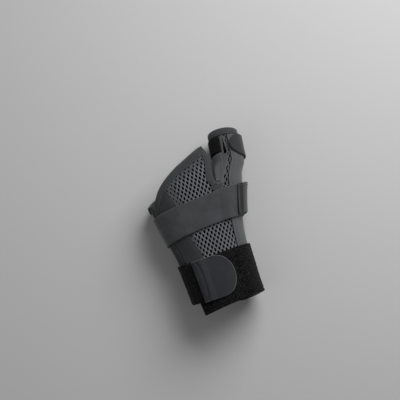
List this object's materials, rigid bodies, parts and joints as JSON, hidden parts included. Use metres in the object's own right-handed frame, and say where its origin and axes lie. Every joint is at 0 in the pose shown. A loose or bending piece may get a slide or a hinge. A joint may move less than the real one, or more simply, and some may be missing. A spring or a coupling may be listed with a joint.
{
  "type": "thumb spica splint",
  "caption": "Left-hand wrist and thumb splint of padded mesh fabric with a thumb tube, a stay sleeve on the thumb side, and wrist, hand and thumb straps with hook tabs.",
  "frame": {"origin": "on the floor, under the middle of the wrist strap's flat underside", "axes": "+X to the thumb side, +Y along the forearm to the fingers, +Z out of the back of the hand"},
  "size_m": [0.1065, 0.1589, 0.0551],
  "materials": {
    "mesh_fabric": "charcoal spacer mesh with rows of oval holes",
    "smooth_fabric": "smooth charcoal knit",
    "edge_tape": "folded charcoal knit tape, stitched",
    "loop_pile": "black loop pile",
    "brushed_strap": "brushed charcoal elastic",
    "tab_fabric": "smooth charcoal tab with a stitched rim"
  },
  "bodies": {
    "root": {"wrap": "mesh_fabric", "stay_sleeve": "smooth_fabric", "lap_panel": "smooth_fabric", "thumb_panel": "smooth_fabric", "back_binding": "edge_tape", "palm_binding": "edge_tape", "thumb_binding": "edge_tape", "wrist_band": "loop_pile", "wrist_strap": "loop_pile", "wrist_tab": "tab_fabric", "hand_strap": "brushed_strap", "hand_tab": "tab_fabric", "thumb_strap": "loop_pile", "thumb_tab": "tab_fabric"}
  },
  "joints": []
}
